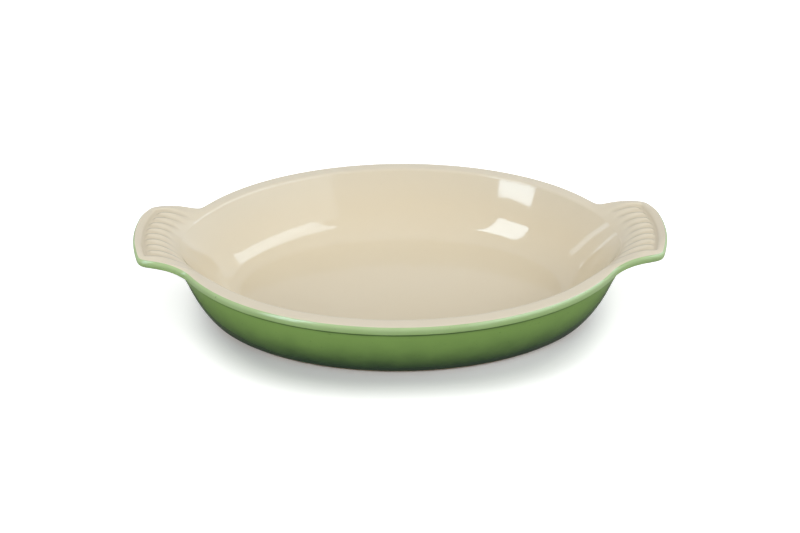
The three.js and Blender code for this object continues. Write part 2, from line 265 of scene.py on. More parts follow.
def mix(first, last, share):
    """A value share of the way from the first to the last."""
    return first * (1 - share) + last * share


def even_shares(count):
    """Even shares of a way, up to its end but without its start."""
    return np.linspace(0, 1, count + 1)[1:]


def eased(share):
    """A smooth step from 0 to 1."""
    share = np.clip(share, 0, 1)
    return share**2 * (3 - 2 * share)


def bend(start, corner, end, share):
    """A point of the curve that leaves start towards a corner and comes from there to end."""
    near = 1 - share
    return np.multiply(start, near**2) + np.multiply(corner, 2 * share * near) + np.multiply(end, share**2)


class DishShape:
    """Points of the dish's finished surface, worked out from its sizes."""

    def __init__(self, sizes):
        self.sizes = sizes
        self.half_length = sizes.rim_length / 2
        self.half_width = sizes.rim_width / 2
        self.rim_thickness = sizes.band_step + sizes.wall_thickness
        flute_count = math.floor((sizes.handle_width - 2 * sizes.flute_margin) / sizes.flute_pitch)
        self.field_half = flute_count * sizes.flute_pitch / 2
        self.top_inset, self.top_drop = self.lip_rounding(sizes.glaze_line_angle)
        self.crease_inset = self.rim_thickness - self.top_inset
        self.top_length = sizes.handle_reach - sizes.handle_crease + self.crease_inset - self.top_inset
        self.field_length = self.top_length - sizes.flute_border
        self.wall_top = (sizes.band_step, sizes.rim_height - sizes.band_height - sizes.band_radius)
        self.angles = self.stations()
        self.outline_line = self.outline(np.linspace(0, 2 * math.pi, OUTLINE_SAMPLES + 1))
        self.handle = self.handle_share(self.angles)

        # A handle's rise sets in earlier along the rim than its reach, and its end is highest in the middle
        self.rise = 1 - (1 - self.handle) ** sizes.handle_rise_onset
        across = self.half_width * np.sin(self.angles)
        self.end_rise = sizes.handle_end_rise * self.middle_share(across, sizes.handle_end_flat)

    def handle_share(self, angle):
        """1 across a handle, 0 along the sides."""
        across = np.abs(self.half_width * np.sin(angle)) / (self.sizes.handle_width / 2)
        return 1 / (1 + across**self.sizes.handle_squareness)

    def middle_share(self, across, reach):
        """1 along the middle of a handle, up to a reach across it, and 0 at its sides."""
        side = self.sizes.handle_width / 2
        return eased((side - np.abs(across)) / (side - reach))

    def crease_share(self, across):
        """Share of the crease's run and dip, by the distance from the middle of a handle."""
        return np.clip(1 - (across / self.sizes.handle_crease_spread) ** 2, 0, 1) ** 2

    def oval(self, angle, inset, reach):
        """Plan of the oval, inset from the rim's edge and moved out along the handles."""
        flattened = self.sizes.handle_flatness * self.half_length * (1 - np.abs(np.cos(angle)))
        out = reach * (1 + flattened / self.sizes.handle_reach) * self.handle_share(angle)
        x = (self.half_length - inset) * np.cos(angle) + np.sign(np.cos(angle)) * out
        y = (self.half_width - inset) * np.sin(angle)
        return np.column_stack([x, y])

    def outline(self, angle):
        """The outermost line, round the rim and the handles."""
        return self.oval(angle, 0, self.sizes.handle_reach)

    def inset_outline(self, inset):
        """The outline moved in square to itself."""
        step = 1e-4
        along = self.outline(self.angles + step) - self.outline(self.angles - step)
        along /= np.linalg.norm(along, axis=1, keepdims=True)
        return self.outline(self.angles) + np.column_stack([-along[:, 1] * inset, along[:, 0] * inset])

    def edge_distance(self, plan):
        """Distance of each plan point to the outline."""
        start = self.outline_line[:-1]
        span = np.diff(self.outline_line, axis=0)
        nearest = np.empty(len(plan))
        for i, point in enumerate(plan):
            offset = point - start
            share = np.clip((offset * span).sum(1) / (span * span).sum(1), 0, 1)
            nearest[i] = np.linalg.norm(offset - span * share[:, None], axis=1).min()
        return nearest

    def even(self, start, end, steps):
        """Angles from start to end, spread evenly along the outline."""
        fine = np.linspace(start, end, SAMPLES_PER_STEP * steps)
        pieces = np.linalg.norm(np.diff(self.outline(fine), axis=0), axis=1)
        along = np.concatenate([[0], np.cumsum(pieces)])
        return np.interp(np.linspace(0, along[-1], steps + 1), along, fine)

    def stations(self):
        """The angles at which every ring has a point."""
        field_end = math.asin(self.field_half / self.half_width)
        flank_end = math.asin((self.field_half + 2 * self.sizes.flute_margin) / self.half_width)
        field = np.arcsin(np.linspace(0, self.field_half, FIELD_STEPS + 1) / self.half_width)
        flank = self.even(field_end, flank_end, FLANK_STEPS)
        side = self.even(flank_end, math.pi / 2, SIDE_STEPS)
        quarter = np.concatenate([field[:-1], flank[:-1], side])
        half = np.concatenate([quarter, math.pi - quarter[-2:0:-1]])
        return np.concatenate([half, half + math.pi])

    def lip_rounding(self, degrees):
        """Inset and drop of a point on either of the lip's roundings, by its angle from the top."""
        angle = math.radians(degrees)
        radius = self.sizes.lip_radius
        return radius * (1 - math.sin(angle)), radius * (1 - math.cos(angle))

    def level(self, inset, height):
        """A ring round the plain oval."""
        return np.column_stack([self.oval(self.angles, inset, 0), np.full(len(self.angles), height)])

    def inner(self, inset, height, near):
        """A ring of the inner wall. near is 1 at the lip, which runs out and dips at the handles."""
        across = (self.half_width - inset * (1 - near * self.handle)) * np.sin(self.angles)
        crease = near * self.crease_share(across)
        squared = np.clip(1 - (across / (self.half_width - inset)) ** 2, 0, 1)
        plain = (self.half_length - inset) * np.sqrt(squared)
        x = np.sign(np.cos(self.angles)) * (plain + self.sizes.handle_crease * crease)
        return np.column_stack([x, across, height - self.sizes.handle_dip * crease])

    def climbed(self, plan, share):
        """Share of the climb from the bowl to a handle's top, at the points of a ring."""
        sizes = self.sizes
        middle = np.clip(1 - (2 * plan[:, 1] / sizes.handle_width) ** 2, 0, 1)
        power = mix(sizes.handle_side_climb, sizes.handle_climb, middle)
        return 1 - max(0, 1 - share / sizes.handle_hump_place) ** power

    def hump_share(self, plan, share):
        """Share of the hump, which fades out towards a handle's edge and sides."""
        place = self.sizes.handle_hump_place
        beyond = max(0, (share - place) / (1 - place))
        return (1 - beyond**2) * self.middle_share(plan[:, 1], self.field_half)

    def top(self, share):
        """A ring of the top and its distance to the edge. share is 0 at the bowl, 1 at the glaze line."""
        sizes = self.sizes
        crease = self.inner(self.crease_inset, 0, 1)
        plan = mix(crease[:, :2], self.inset_outline(self.top_inset), share)
        edge = self.edge_distance(plan) - self.top_inset
        climbed = self.climbed(plan, share)
        crown = sizes.lip_crown * (1 - abs(2 * share - 1) ** sizes.lip_flatness)
        edge_rise = sizes.handle_rise * share**2
        hump = sizes.handle_hump * self.hump_share(plan, share)
        lip = crown + edge_rise * self.rise
        handle = (sizes.handle_rise + hump) * climbed - edge_rise * (1 - self.rise)
        rise = mix(lip, handle, self.handle) + crease[:, 2] * (1 - climbed)
        rise += self.end_rise * np.clip(1 - edge / sizes.flute_border, 0, 1) ** sizes.flute_border_curl
        return np.column_stack([plan, sizes.rim_height - self.top_drop + rise]), edge

    def band(self, inset, drop):
        """A ring of the rim's side, which is also the handles' side."""
        height = self.sizes.rim_height - drop + self.sizes.handle_rise * self.rise + self.end_rise
        return np.column_stack([self.inset_outline(inset), height])

    def band_foot(self, angle):
        """A ring of the band's lower edge, by its angle round from the band's side."""
        sizes = self.sizes
        foot = mix(sizes.band_height, sizes.handle_thickness, self.handle)
        radius = mix(sizes.band_radius, sizes.handle_edge_radius, self.handle)
        radius = np.minimum(radius, foot - sizes.lip_radius)
        return self.band(radius * (1 - math.cos(angle)), foot - radius * (1 - math.sin(angle)))

    def underside(self, share):
        """A ring under the band and the handles, from the band's lower edge to the wall."""
        edge = self.band_foot(math.pi / 2)
        root = self.level(*self.wall_top)
        root[:, 2] -= self.sizes.handle_root_drop * self.handle
        middle = (root + edge) / 2
        middle[:, 2] = root[:, 2] + self.sizes.handle_arch * (edge[:, 2] - root[:, 2])
        control = 2 * middle - (root + edge) / 2
        return bend(edge, control, root, share)

    def outer_curve(self, share):
        """Inset and height of the outer wall, from under the band down to the table."""
        sizes = self.sizes
        turn = (sizes.band_step + sizes.wall_bulge, sizes.wall_bulge_height)
        return bend(self.wall_top, turn, (sizes.foot_inset, 0), share)

    def outer_share(self, height):
        """Share of the outer curve at a height over the table."""
        shares = np.linspace(0, 1, OUTLINE_SAMPLES)
        heights = np.array([self.outer_curve(share)[1] for share in shares])
        return float(np.interp(-height, -heights, shares))

    def outer(self, share):
        """A ring of the outer wall. Its top drops with the handles' roots."""
        ring = self.level(*self.outer_curve(share))
        fade = max(0, 1 - share / ROOT_FADE)
        ring[:, 2] -= self.sizes.handle_root_drop * self.handle * fade
        return ring

    def inner_curve(self, share):
        """Inset and height of the inner wall, from the lip down to the flat floor."""
        sizes = self.sizes
        inset, drop = self.lip_rounding(sizes.lip_inner_angle)
        lip = (self.rim_thickness - inset, sizes.rim_height - drop)
        high = (lip[0] + sizes.inner_bulge, sizes.inner_bulge_height)
        low = (lip[0] + 2 * sizes.inner_bulge, sizes.floor_thickness)
        floor = (sizes.foot_inset + sizes.floor_setback, sizes.floor_thickness)
        far = 1 - share
        weights = (far**3, 3 * share * far**2, 3 * share**2 * far, share**3)
        return np.array([lip, high, low, floor]).T @ weights


class Ring:
    """One ring of points on the skin, with the clay's points under them and marks for the finishes."""

    def __init__(self, face, **marks):
        self.face = face
        self.clay = face.copy()
        self.marks = marks


class DishSkin:
    """The dish's finished surface as rings, from the floor over the rim to the underside."""

    def __init__(self, sizes):
        self.sizes = sizes
        self.shape = DishShape(sizes)
        self.cream = [*self.inner_rings(), *self.top_rings()]
        self.green = self.green_rings()
        self.bare = self.bare_rings()
        self.recess = self.recess_rings()
        self.lay_glaze()
        self.floor = self.disc(self.cream[0])
        self.underside = self.disc(self.recess[-1])[::-1]

    def inner_rings(self):
        """The inner wall and the lip's inner rounding."""
        shape, sizes = self.shape, self.sizes
        rings = []
        for share in np.linspace(1, 0, INNER_WALL_STEPS + 1):
            inset, height = shape.inner_curve(share)
            rings.append(Ring(shape.inner(inset, height, (1 - share) ** sizes.handle_crease_fade)))
        low = rings[-1].face
        high = shape.top(0)[0]
        roll = sizes.handle_roll * shape.crease_share(high[:, 1:2])
        for share in even_shares(LIP_STEPS)[:-1]:
            inset, drop = shape.lip_rounding(mix(sizes.lip_inner_angle, sizes.glaze_line_angle, share))
            rounded = shape.inner(shape.rim_thickness - inset, sizes.rim_height - drop, 1)
            rings.append(Ring(mix(rounded, mix(low, high, share), roll)))
        return rings

    def top_rings(self):
        """The top, with the places that the flutes are cut from."""
        shape = self.shape
        break_at = (shape.field_length - self.sizes.flute_tip) / shape.top_length
        shares = (0, *(break_at * even_shares(TOP_STEPS)), *mix(break_at, 1, even_shares(TOP_END_STEPS)))
        rings = []
        for share in shares:
            points, edge = shape.top(share)
            along = np.full(len(points), share * shape.top_length)
            rings.append(Ring(points, flute_along=along, flute_across=points[:, 1], flute_edge=edge))
        return rings

    def green_rings(self):
        """The rim's band, the handles' sides and undersides and the outer wall. Their mark is the glaze's
        depth, with painted shade added under the band and towards the foot.
        """
        shape, sizes = self.shape, self.sizes
        rings = [Ring(self.cream[-1].face, pool=POOL_LINE)]
        for share in even_shares(LIP_STEPS):
            place = shape.lip_rounding(mix(sizes.glaze_line_angle, 90, share))
            rings.append(Ring(shape.band(*place), pool=mix(POOL_LINE, POOL_BAND_TOP, share)))
        top = rings[-1].face
        foot = shape.band_foot(0)
        for share in even_shares(BAND_STEPS):
            rings.append(Ring(mix(top, foot, share), pool=mix(POOL_BAND_TOP, POOL_BAND_FOOT, share)))
        for share in even_shares(BAND_EDGE_STEPS):
            rings.append(Ring(shape.band_foot(share * math.pi / 2), pool=POOL_BAND_FOOT))
        for share in even_shares(UNDERSIDE_STEPS):
            rings.append(Ring(shape.underside(share), pool=mix(POOL_BAND_FOOT, POOL_ROOT, share**2)))
        stop = shape.outer_share(sizes.glaze_stop)
        roll = shape.outer_share(sizes.glaze_stop + sizes.glaze_roll)
        for share in even_shares(OUTER_WALL_STEPS) * roll:
            # Darker in the groove under the band, as pooled glaze and as the band step's painted shadow, and
            # darker towards the foot, as pooling and as painted shade
            groove = GROOVE_POOL_AND_SHADE * math.exp(-(share / GROOVE_POOL_AND_SHADE_SHARE) ** 2)
            rings.append(Ring(shape.outer(share), pool=groove + FOOT_POOL_AND_SHADE * share**FOOT_POOL_AND_SHADE_POWER))
        for share in even_shares(GLAZE_END_STEPS):
            place = mix(roll, stop, math.sin(share * math.pi / 2))
            rings.append(Ring(shape.outer(place), pool=FOOT_POOL_AND_SHADE))
        return rings

    def bare_rings(self):
        """The foot ring, where the clay shows, from the glaze's edge round to the recess."""
        shape, sizes = self.shape, self.sizes
        inner = sizes.foot_inset + sizes.foot_width
        outer = sizes.foot_inset + sizes.glaze_thickness
        start = shape.outer_curve(shape.outer_share(sizes.foot_radius))[0] + sizes.glaze_thickness
        slope = sizes.foot_recess / 2
        corners = [
            ((start, sizes.foot_radius), (outer, 0), (sizes.foot_inset + sizes.foot_radius, 0)),
            ((inner - sizes.foot_radius, 0), (inner, 0), (inner + slope, slope)),
        ]
        rings = []
        for first, corner, last in corners:
            for share in np.linspace(0, 1, FOOT_STEPS + 1):
                rings.append(Ring(shape.level(*bend(first, corner, last, share))))
        return rings

    def recess_rings(self):
        """The edge of the glazed recess inside the foot ring."""
        sizes = self.sizes
        edge = sizes.foot_inset + sizes.foot_width + sizes.foot_recess
        insets = (edge, edge + sizes.glaze_roll, edge + 2 * sizes.foot_width)
        return [Ring(self.shape.level(inset, sizes.foot_recess)) for inset in insets]

    def lay_glaze(self):
        """Sets the clay one glaze thickness under the skin, and rounds off the outer glaze's lower edge."""
        rings = [*self.cream, *self.green[1:], *self.bare, *self.recess]
        points = np.stack([ring.face for ring in rings])
        outwards = np.cross(np.gradient(points, axis=0), np.roll(points, -1, 1) - np.roll(points, 1, 1))
        outwards /= np.linalg.norm(outwards, axis=2, keepdims=True)
        for ring, direction in zip(rings, outwards):
            if ring not in self.bare:
                ring.clay = ring.face - self.sizes.glaze_thickness * direction
        self.green[0].clay = self.cream[-1].clay
        for share, ring in zip(even_shares(GLAZE_END_STEPS), self.green[-GLAZE_END_STEPS:]):
            kept = min(1, math.cos(share * math.pi / 2) + GLAZE_EDGE)
            ring.face = mix(ring.clay, ring.face, kept)

    def disc(self, edge):
        """A flat disc inside an edge ring, with fewer points towards its middle."""
        rings = []
        for share, skip in ((0, len(edge.face)), *DISC_RINGS):
            ring = Ring(edge.face[::skip] * (share, share, 1))
            ring.clay = edge.clay[::skip] * (share, share, 1)
            rings.append(ring)
        return rings


SKINS = {}


def skin_of(sizes):
    """The dish's surface, worked out once for all of its pieces."""
    key = tuple(getattr(sizes, name) for name in sizes.__annotations__)
    if key not in SKINS:
        SKINS.clear()
        SKINS[key] = DishSkin(sizes)
    return SKINS[key]


class Loft:
    """A mesh made of rings of points and the faces between them."""

    def __init__(self):
        self.points = []
        self.faces = []
        self.marks = {}

    def lay(self, points, marks):
        """Adds a ring's points and returns their numbers."""
        first = len(self.points)
        self.points.extend(map(tuple, points))
        for name, value in marks.items():
            self.marks.setdefault(name, {})[first] = np.broadcast_to(value, len(points))
        return list(range(first, first + len(points)))

    def join(self, a, b, turned=False):
        """Faces between two rings with as many points, twice or half as many, or only one."""
        count = max(len(a), len(b))
        for i in range(count):
            a0, a1 = a[i * len(a) // count], a[((i + 1) * len(a) // count) % len(a)]
            b0, b1 = b[i * len(b) // count], b[((i + 1) * len(b) // count) % len(b)]
            corners = list(dict.fromkeys([a0, b0, b1, a1]))
            self.faces.append(corners[::-1] if turned else corners)

    def stretch(self, rings, turned=False):
        """Faces along a row of rings."""
        for a, b in zip(rings, rings[1:]):
            self.join(a, b, turned)

    def mesh(self, name):
        """The mesh, smooth except at its sharp edges, with its marks as attributes."""
        mesh = bpy.data.meshes.new(name)
        mesh.from_pydata(self.points, [], self.faces)
        for mark, parts in self.marks.items():
            values = np.zeros(len(self.points), np.float32)
            for first, part in parts.items():
                values[first : first + len(part)] = part
            mesh.attributes.new(mark, "FLOAT", "POINT").data.foreach_set("value", values)
        mesh.shade_smooth()
        mesh.set_sharp_from_angle(angle=SHARP_ANGLE)
        return mesh


def coat(rings):
    """A closed coat of glaze: its face, its back on the clay and its open edges."""
    loft = Loft()
    face = [loft.lay(ring.face, ring.marks) for ring in rings]
    back = [loft.lay(ring.clay, ring.marks) for ring in rings]
    loft.stretch(face)
    loft.stretch(back, turned=True)
    if len(face[0]) > 1:
        loft.join(back[0], face[0])
    if len(face[-1]) > 1:
        loft.join(face[-1], back[-1])
    return loft


def body(rings):
    """The closed body of clay under the glaze."""
    loft = Loft()
    loft.stretch([loft.lay(ring.clay, ring.marks) for ring in rings])
    return loft


class Value:
    """A node's output, which is reckoned with like a number."""

    def __init__(self, socket):
        self.socket = socket
        self.tree = socket.id_data

    def __add__(self, other):
        return maths("ADD", self, other)

    def __sub__(self, other):
        return maths("SUBTRACT", self, other)

    def __rsub__(self, other):
        return maths("SUBTRACT", other, self)

    def __mul__(self, other):
        return maths("MULTIPLY", self, other)

    def __truediv__(self, other):
        return maths("DIVIDE", self, other)

    def __pow__(self, other):
        return maths("POWER", self, other)

    def __abs__(self):
        return maths("ABSOLUTE", self)


def put(value, socket):
    """Joins a node's output to a socket, or sets the socket to a plain value."""
    if isinstance(value, Value):
        value.tree.links.new(value.socket, socket)
    else:
        socket.default_value = value


def add_node(tree, kind, inputs):
    """A new node with its inputs joined or set."""
    node = tree.nodes.new(kind)
    for name, value in inputs.items():
        put(value, node.inputs[name])
    return node


def maths(operation, *values):
    """A Math node's result."""
    tree = next(value.tree for value in values if isinstance(value, Value))
    node = tree.nodes.new("ShaderNodeMath")
    node.operation = operation
    for value, socket in zip(values, node.inputs):
        put(value, socket)
    return Value(node.outputs[0])


def smooth_range(value, start, end):
    """0 before start, 1 after end and a smooth step between."""
    inputs = {"Value": value, "From Min": start, "From Max": end}
    node = add_node(value.tree, "ShaderNodeMapRange", inputs)
    node.interpolation_type = "SMOOTHSTEP"
    return Value(node.outputs["Result"])


def axes(vector):
    """A vector's three parts."""
    node = add_node(vector.tree, "ShaderNodeSeparateXYZ", {"Vector": vector})
    return {axis: Value(node.outputs[axis]) for axis in "XYZ"}


def marked(tree, name):
    """A mark that the mesh carries, in a geometry tree."""
    node = add_node(tree, "GeometryNodeInputNamedAttribute", {"Name": name})
    return Value(node.outputs["Attribute"])


def flute_tree(names):
    """Geometry nodes that cut the flutes into a handle's top, with the named sizes and a finish as inputs."""
    tree = bpy.data.node_groups.new("Shell flutes", "GeometryNodeTree")
    kinds = {"Geometry": "Geometry", **dict.fromkeys(names, "Float"), "Finish": "Material"}
    for name, kind in kinds.items():
        tree.interface.new_socket(name, in_out="INPUT", socket_type=f"NodeSocket{kind}")
    tree.interface.new_socket("Geometry", in_out="OUTPUT", socket_type="NodeSocketGeometry")
    given = {socket.name: Value(socket) for socket in tree.nodes.new("NodeGroupInput").outputs}
    field_length = given["Field Length"]
    half = given["Field Half Width"]
    half_pitch = given["Flute Pitch"] / 2
    shoulder_end = half + half_pitch
    across = abs(marked(tree, "flute_across"))
    along = marked(tree, "flute_along")

    # Across a ridge: 0 on its crest, 1 in the grooves beside it. Along it: 0 up to its tip, 1 at its end
    sideways = 1 - maths("PINGPONG", across - half, half_pitch) / half_pitch
    sideways *= maths("LESS_THAN", across, shoulder_end)
    beyond = (along - (field_length - given["Flute Tip"])) / given["Flute Tip"]
    beyond = maths("MAXIMUM", beyond, 0) * maths("LESS_THAN", across, half)
    from_crest = maths("MINIMUM", maths("SQRT", sideways**2 + beyond**2), 1)

    # A sharp groove between round ridges, softened a little where the glaze has filled it
    sharp = maths("COSINE", from_crest * (math.pi / 2))
    soft = maths("COSINE", from_crest * math.pi) * 0.5 + 0.5
    crest = (sharp - soft) * given["Flute Sharpness"] + soft
    groove = (1 - crest) * given["Flute Depth"] * smooth_range(along, 0, given["Flute Fade"])

    # The whole field sinks towards its outer end and stops short of the plain border
    scoop = smooth_range(along, field_length - given["Scoop Length"], field_length) * given["Scoop Depth"]
    scoop *= smooth_range(across, shoulder_end, half)
    border = given["Border"]
    inside = smooth_range(marked(tree, "flute_edge"), border - given["Border Step"], border)
    drop = (groove + scoop) * inside

    down = add_node(tree, "ShaderNodeCombineXYZ", {"Z": drop * -1})
    mark = {"Name": "groove", "Value": drop / given["Flute Depth"]}
    steps = (
        add_node(tree, "GeometryNodeSetPosition", {"Offset": Value(down.outputs["Vector"])}),
        add_node(tree, "GeometryNodeStoreNamedAttribute", mark),
        add_node(tree, "GeometryNodeRealizeInstances", {}),
        add_node(tree, "GeometryNodeSetMaterial", {"Material": given["Finish"]}),
    )
    geometry = given["Geometry"]
    for step in steps:
        put(geometry, step.inputs["Geometry"])
        geometry = Value(step.outputs["Geometry"])
    put(geometry, tree.nodes.new("NodeGroupOutput").inputs["Geometry"])
    return tree


def cut_flutes(piece, skin, material):
    """Cuts the flutes into a piece with the geometry nodes and keeps the result as a plain mesh."""
    sizes = skin.sizes
    values = {
        "Flute Pitch": sizes.flute_pitch,
        "Flute Depth": sizes.flute_depth,
        "Flute Sharpness": sizes.flute_sharpness,
        "Flute Tip": sizes.flute_tip,
        "Flute Fade": sizes.flute_fade,
        "Field Half Width": skin.shape.field_half,
        "Field Length": skin.shape.field_length,
        "Scoop Depth": sizes.flute_scoop,
        "Scoop Length": sizes.flute_scoop_length,
        "Border": sizes.flute_border,
        "Border Step": sizes.flute_end,
    }
    tree = bpy.data.node_groups.get("Shell flutes") or flute_tree(values)
    values["Finish"] = material
    modifier = piece.modifiers.new("Shell flutes", "NODES")
    modifier.node_group = tree
    for socket in tree.interface.items_tree:
        if socket.in_out == "INPUT" and socket.name in values:
            modifier[socket.identifier] = values[socket.name]
    plain = piece.data
    cut = piece.evaluated_get(bpy.context.evaluated_depsgraph_get())
    piece.data = bpy.data.meshes.new_from_object(cut)
    piece.modifiers.remove(modifier)
    bpy.data.meshes.remove(plain)


def shader(name):
    """A new material, with its surface's inputs and its object coordinates."""
    material = bpy.data.materials.new(name)
    material.use_nodes = True
    nodes = material.node_tree.nodes
    place = Value(nodes.new("ShaderNodeTexCoord").outputs["Object"])
    return material, nodes["Principled BSDF"].inputs, place


def noise(place, cells, detail=3.0):
    """Noise between 0 and 1, by its cells to the metre."""
    inputs = {"Vector": place, "Scale": cells, "Detail": detail}
    node = add_node(place.tree, "ShaderNodeTexNoise", inputs)
    return Value(node.outputs["Fac"])


def blend(share, first, second):
    """A colour between two others."""
    node = share.tree.nodes.new("ShaderNodeMix")
    node.data_type = "RGBA"
    put(share, node.inputs["Factor"])
    for value, socket in ((first, node.inputs["A"]), (second, node.inputs["B"])):
        put(value if isinstance(value, Value) else (*value, 1), socket)
    return Value(node.outputs["Result"])


def mesh_mark(tree, name):
    """A mark that the mesh carries, in a material."""
    node = tree.nodes.new("ShaderNodeAttribute")
    node.attribute_name = name
    return Value(node.outputs["Fac"])


def ripple(surface, height, depth):
    """Bumps on a surface, depth metres high."""
    node = add_node(height.tree, "ShaderNodeBump", {"Distance": depth, "Height": height})
    put(Value(node.outputs["Normal"]), surface["Normal"])


def specks(place, cells):
    """1 in a few small spots and 0 elsewhere."""
    return smooth_range(noise(place, cells, detail=1.0), *SPECK_EDGES)


def glassy(surface, place):
    """The gloss of a fired glaze: a slightly uneven polish over long, shallow ripples."""
    put(GLAZE_IOR, surface["IOR"])
    put(noise(place, cells=160) * GLAZE_UNEVENNESS + GLAZE_ROUGHNESS, surface["Roughness"])
    ripple(surface, noise(place, cells=55, detail=1.0), GLAZE_RIPPLES)


def cream_glaze(scene):
    """Cream glaze, warmer low in the bowl, with faint specks and grooves darkened as painted shade."""
    colours, sizes = scene.dish_colours, scene.dish_sizes
    material, surface, place = shader("Cream glaze")
    low = smooth_range(axes(place)["Z"], sizes.rim_height, sizes.inner_bulge_height)
    thick = low * CREAM_WARMTH + noise(place, cells=22) * CREAM_DRIFT + DRIFT_START
    tone = blend(thick, colours.cream, colours.cream_thick)
    tone = blend(specks(place, cells=700) * CREAM_SPECKS, tone, colours.cream_specks_and_groove_shade)
    # The flutes' grooves are darkened as painted shade
    groove = smooth_range(mesh_mark(place.tree, "groove"), *GROOVE_SHADE_EDGES)
    tone = blend(groove, tone, colours.cream_specks_and_groove_shade)
    put(tone, surface["Base Color"])
    glassy(surface, place)
    return material


def green_glaze(scene):
    """Green glaze, pale where it thins over the edges and dark where it has pooled, and where shade is
    painted under the band and towards the foot.
    """
    colours = scene.dish_colours
    material, surface, place = shader("Green glaze")
    # The depth mark carries the painted shade under the band and near the foot along with the glaze's pooling
    depth = mesh_mark(place.tree, "pool") + (noise(place, cells=60) * GREEN_DRIFT + DRIFT_START)
    tone = blend(smooth_range(depth, -1, 0), colours.green_thin, colours.green)
    tone = blend(smooth_range(depth, 0, 1), tone, colours.green_pooled_and_shade)
    tone = blend(specks(place, cells=800) * GREEN_SPECKS, tone, colours.green_pooled_and_shade)
    put(tone, surface["Base Color"])
    glassy(surface, place)
    return material


def bare_clay(scene):
    """Bare fired clay: matt and gritty."""
    colours = scene.dish_colours
    material, surface, place = shader("Bare clay")
    grit = smooth_range(noise(place, cells=900, detail=2.0), *GRIT_EDGES)
    tone = blend(noise(place, cells=90), colours.clay, colours.clay_grit)
    tone = blend(smooth_range(noise(place, cells=40), *PATCH_EDGES), tone, colours.clay)
    tone = blend(grit, tone, colours.clay_grit)
    put(tone, surface["Base Color"])
    put(grit * CLAY_UNEVENNESS + CLAY_ROUGHNESS, surface["Roughness"])
    ripple(surface, noise(place, cells=1200, detail=4.0), CLAY_GRAIN)
    return material


def finish_of(name, make, scene):
    """A finish that several pieces share, made once."""
    return bpy.data.materials.get(name) or make(scene)


def add_object(name, data):
    """Puts a mesh, a lamp or a camera into the scene."""
    added = bpy.data.objects.new(name, data)
    bpy.context.scene.collection.objects.link(added)
    return added


def add_piece(name, loft):
    """Puts a loft into the scene as a piece."""
    return add_object(name, loft.mesh(name))


def place_piece(piece, node):
    """Lets a piece stand for a node of the model and stay with it."""
    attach(piece, "root")
    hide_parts(node)


class DISH_OT_stoneware_body(bpy.types.Operator):
    """Make the fired clay body, which shows on the foot ring"""

    bl_idname = "dish.stoneware_body"
    bl_label = "Stoneware body"

    def execute(self, context):
        scene = context.scene
        skin = skin_of(scene.dish_sizes)
        rings = [*skin.floor, *skin.cream, *skin.green[1:], *skin.bare, *skin.recess, *skin.underside]
        piece = add_piece("fired_clay_body", body(rings))
        cut_flutes(piece, skin, finish_of("Bare clay", bare_clay, scene))
        place_piece(piece, "stoneware_body")
        return {"FINISHED"}


class DISH_OT_cream_inner_glaze(bpy.types.Operator):
    """Make the cream glaze over the bowl, the rim's top and the handles' fluted tops"""

    bl_idname = "dish.cream_inner_glaze"
    bl_label = "Cream inner glaze"

    def execute(self, context):
        scene = context.scene
        skin = skin_of(scene.dish_sizes)
        piece = add_piece("cream_glaze_coat", coat([*skin.floor, *skin.cream]))
        cut_flutes(piece, skin, finish_of("Cream glaze", cream_glaze, scene))
        place_piece(piece, "cream_inner_glaze")
        return {"FINISHED"}


class DISH_OT_green_outer_glaze(bpy.types.Operator):
    """Make the green glaze over the rim's band, the handles' sides and undersides and the outer wall"""

    bl_idname = "dish.green_outer_glaze"
    bl_label = "Green outer glaze"

    def execute(self, context):
        scene = context.scene
        skin = skin_of(scene.dish_sizes)
        piece = add_piece("green_glaze_coat", coat(skin.green))
        piece.data.materials.append(finish_of("Green glaze", green_glaze, scene))
        place_piece(piece, "green_outer_glaze")
        return {"FINISHED"}


class DISH_OT_underside_glaze(bpy.types.Operator):
    """Make the green glaze in the recess inside the foot ring"""

    bl_idname = "dish.underside_glaze"
    bl_label = "Underside glaze"

    def execute(self, context):
        scene = context.scene
        skin = skin_of(scene.dish_sizes)
        piece = add_piece("underside_glaze_coat", coat([*skin.recess, *skin.underside]))
        piece.data.materials.append(finish_of("Green glaze", green_glaze, scene))
        place_piece(piece, "underside_glaze")
        return {"FINISHED"}


def light_path(tree):
    """The kinds of rays that meet a surface."""
    return {socket.name: Value(socket) for socket in tree.nodes.new("ShaderNodeLightPath").outputs}


def sees_background(path):
    """1 for the camera and for what the camera sees mirrored or through glass, 0 for the light itself."""
    return maths("MINIMUM", path["Is Camera Ray"] + path["Is Glossy Ray"] + path["Is Transmission Ray"], 1)


